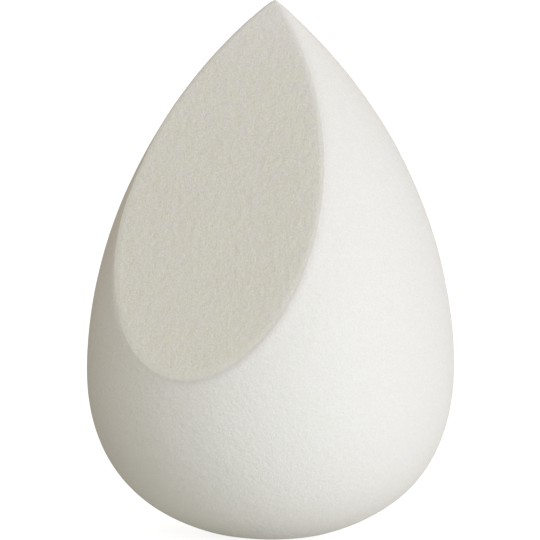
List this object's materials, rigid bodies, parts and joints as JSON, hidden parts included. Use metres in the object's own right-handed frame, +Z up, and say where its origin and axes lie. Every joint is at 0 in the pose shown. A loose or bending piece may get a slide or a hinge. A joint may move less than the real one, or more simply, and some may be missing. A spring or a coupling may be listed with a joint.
{
  "type": "makeup sponge",
  "caption": "Teardrop foam makeup sponge with a pointed tip, a round belly, a small flat foot and a slanted flat face for blending make-up.",
  "frame": {"origin": "centre of the flat foot that the sponge stands on", "axes": "+Z up the teardrop's axis to the tip; the slanted flat face looks along -Y and upwards; +X to the right of that face's viewer"},
  "size_m": [0.0408, 0.0408, 0.0598],
  "materials": {
    "skin_foam": "matte, fine-celled moulded foam skin",
    "core_foam": "matte, open-celled cut foam"
  },
  "bodies": {
    "root": {"moulded_skin": "skin_foam", "foam_core": "core_foam"}
  },
  "joints": []
}
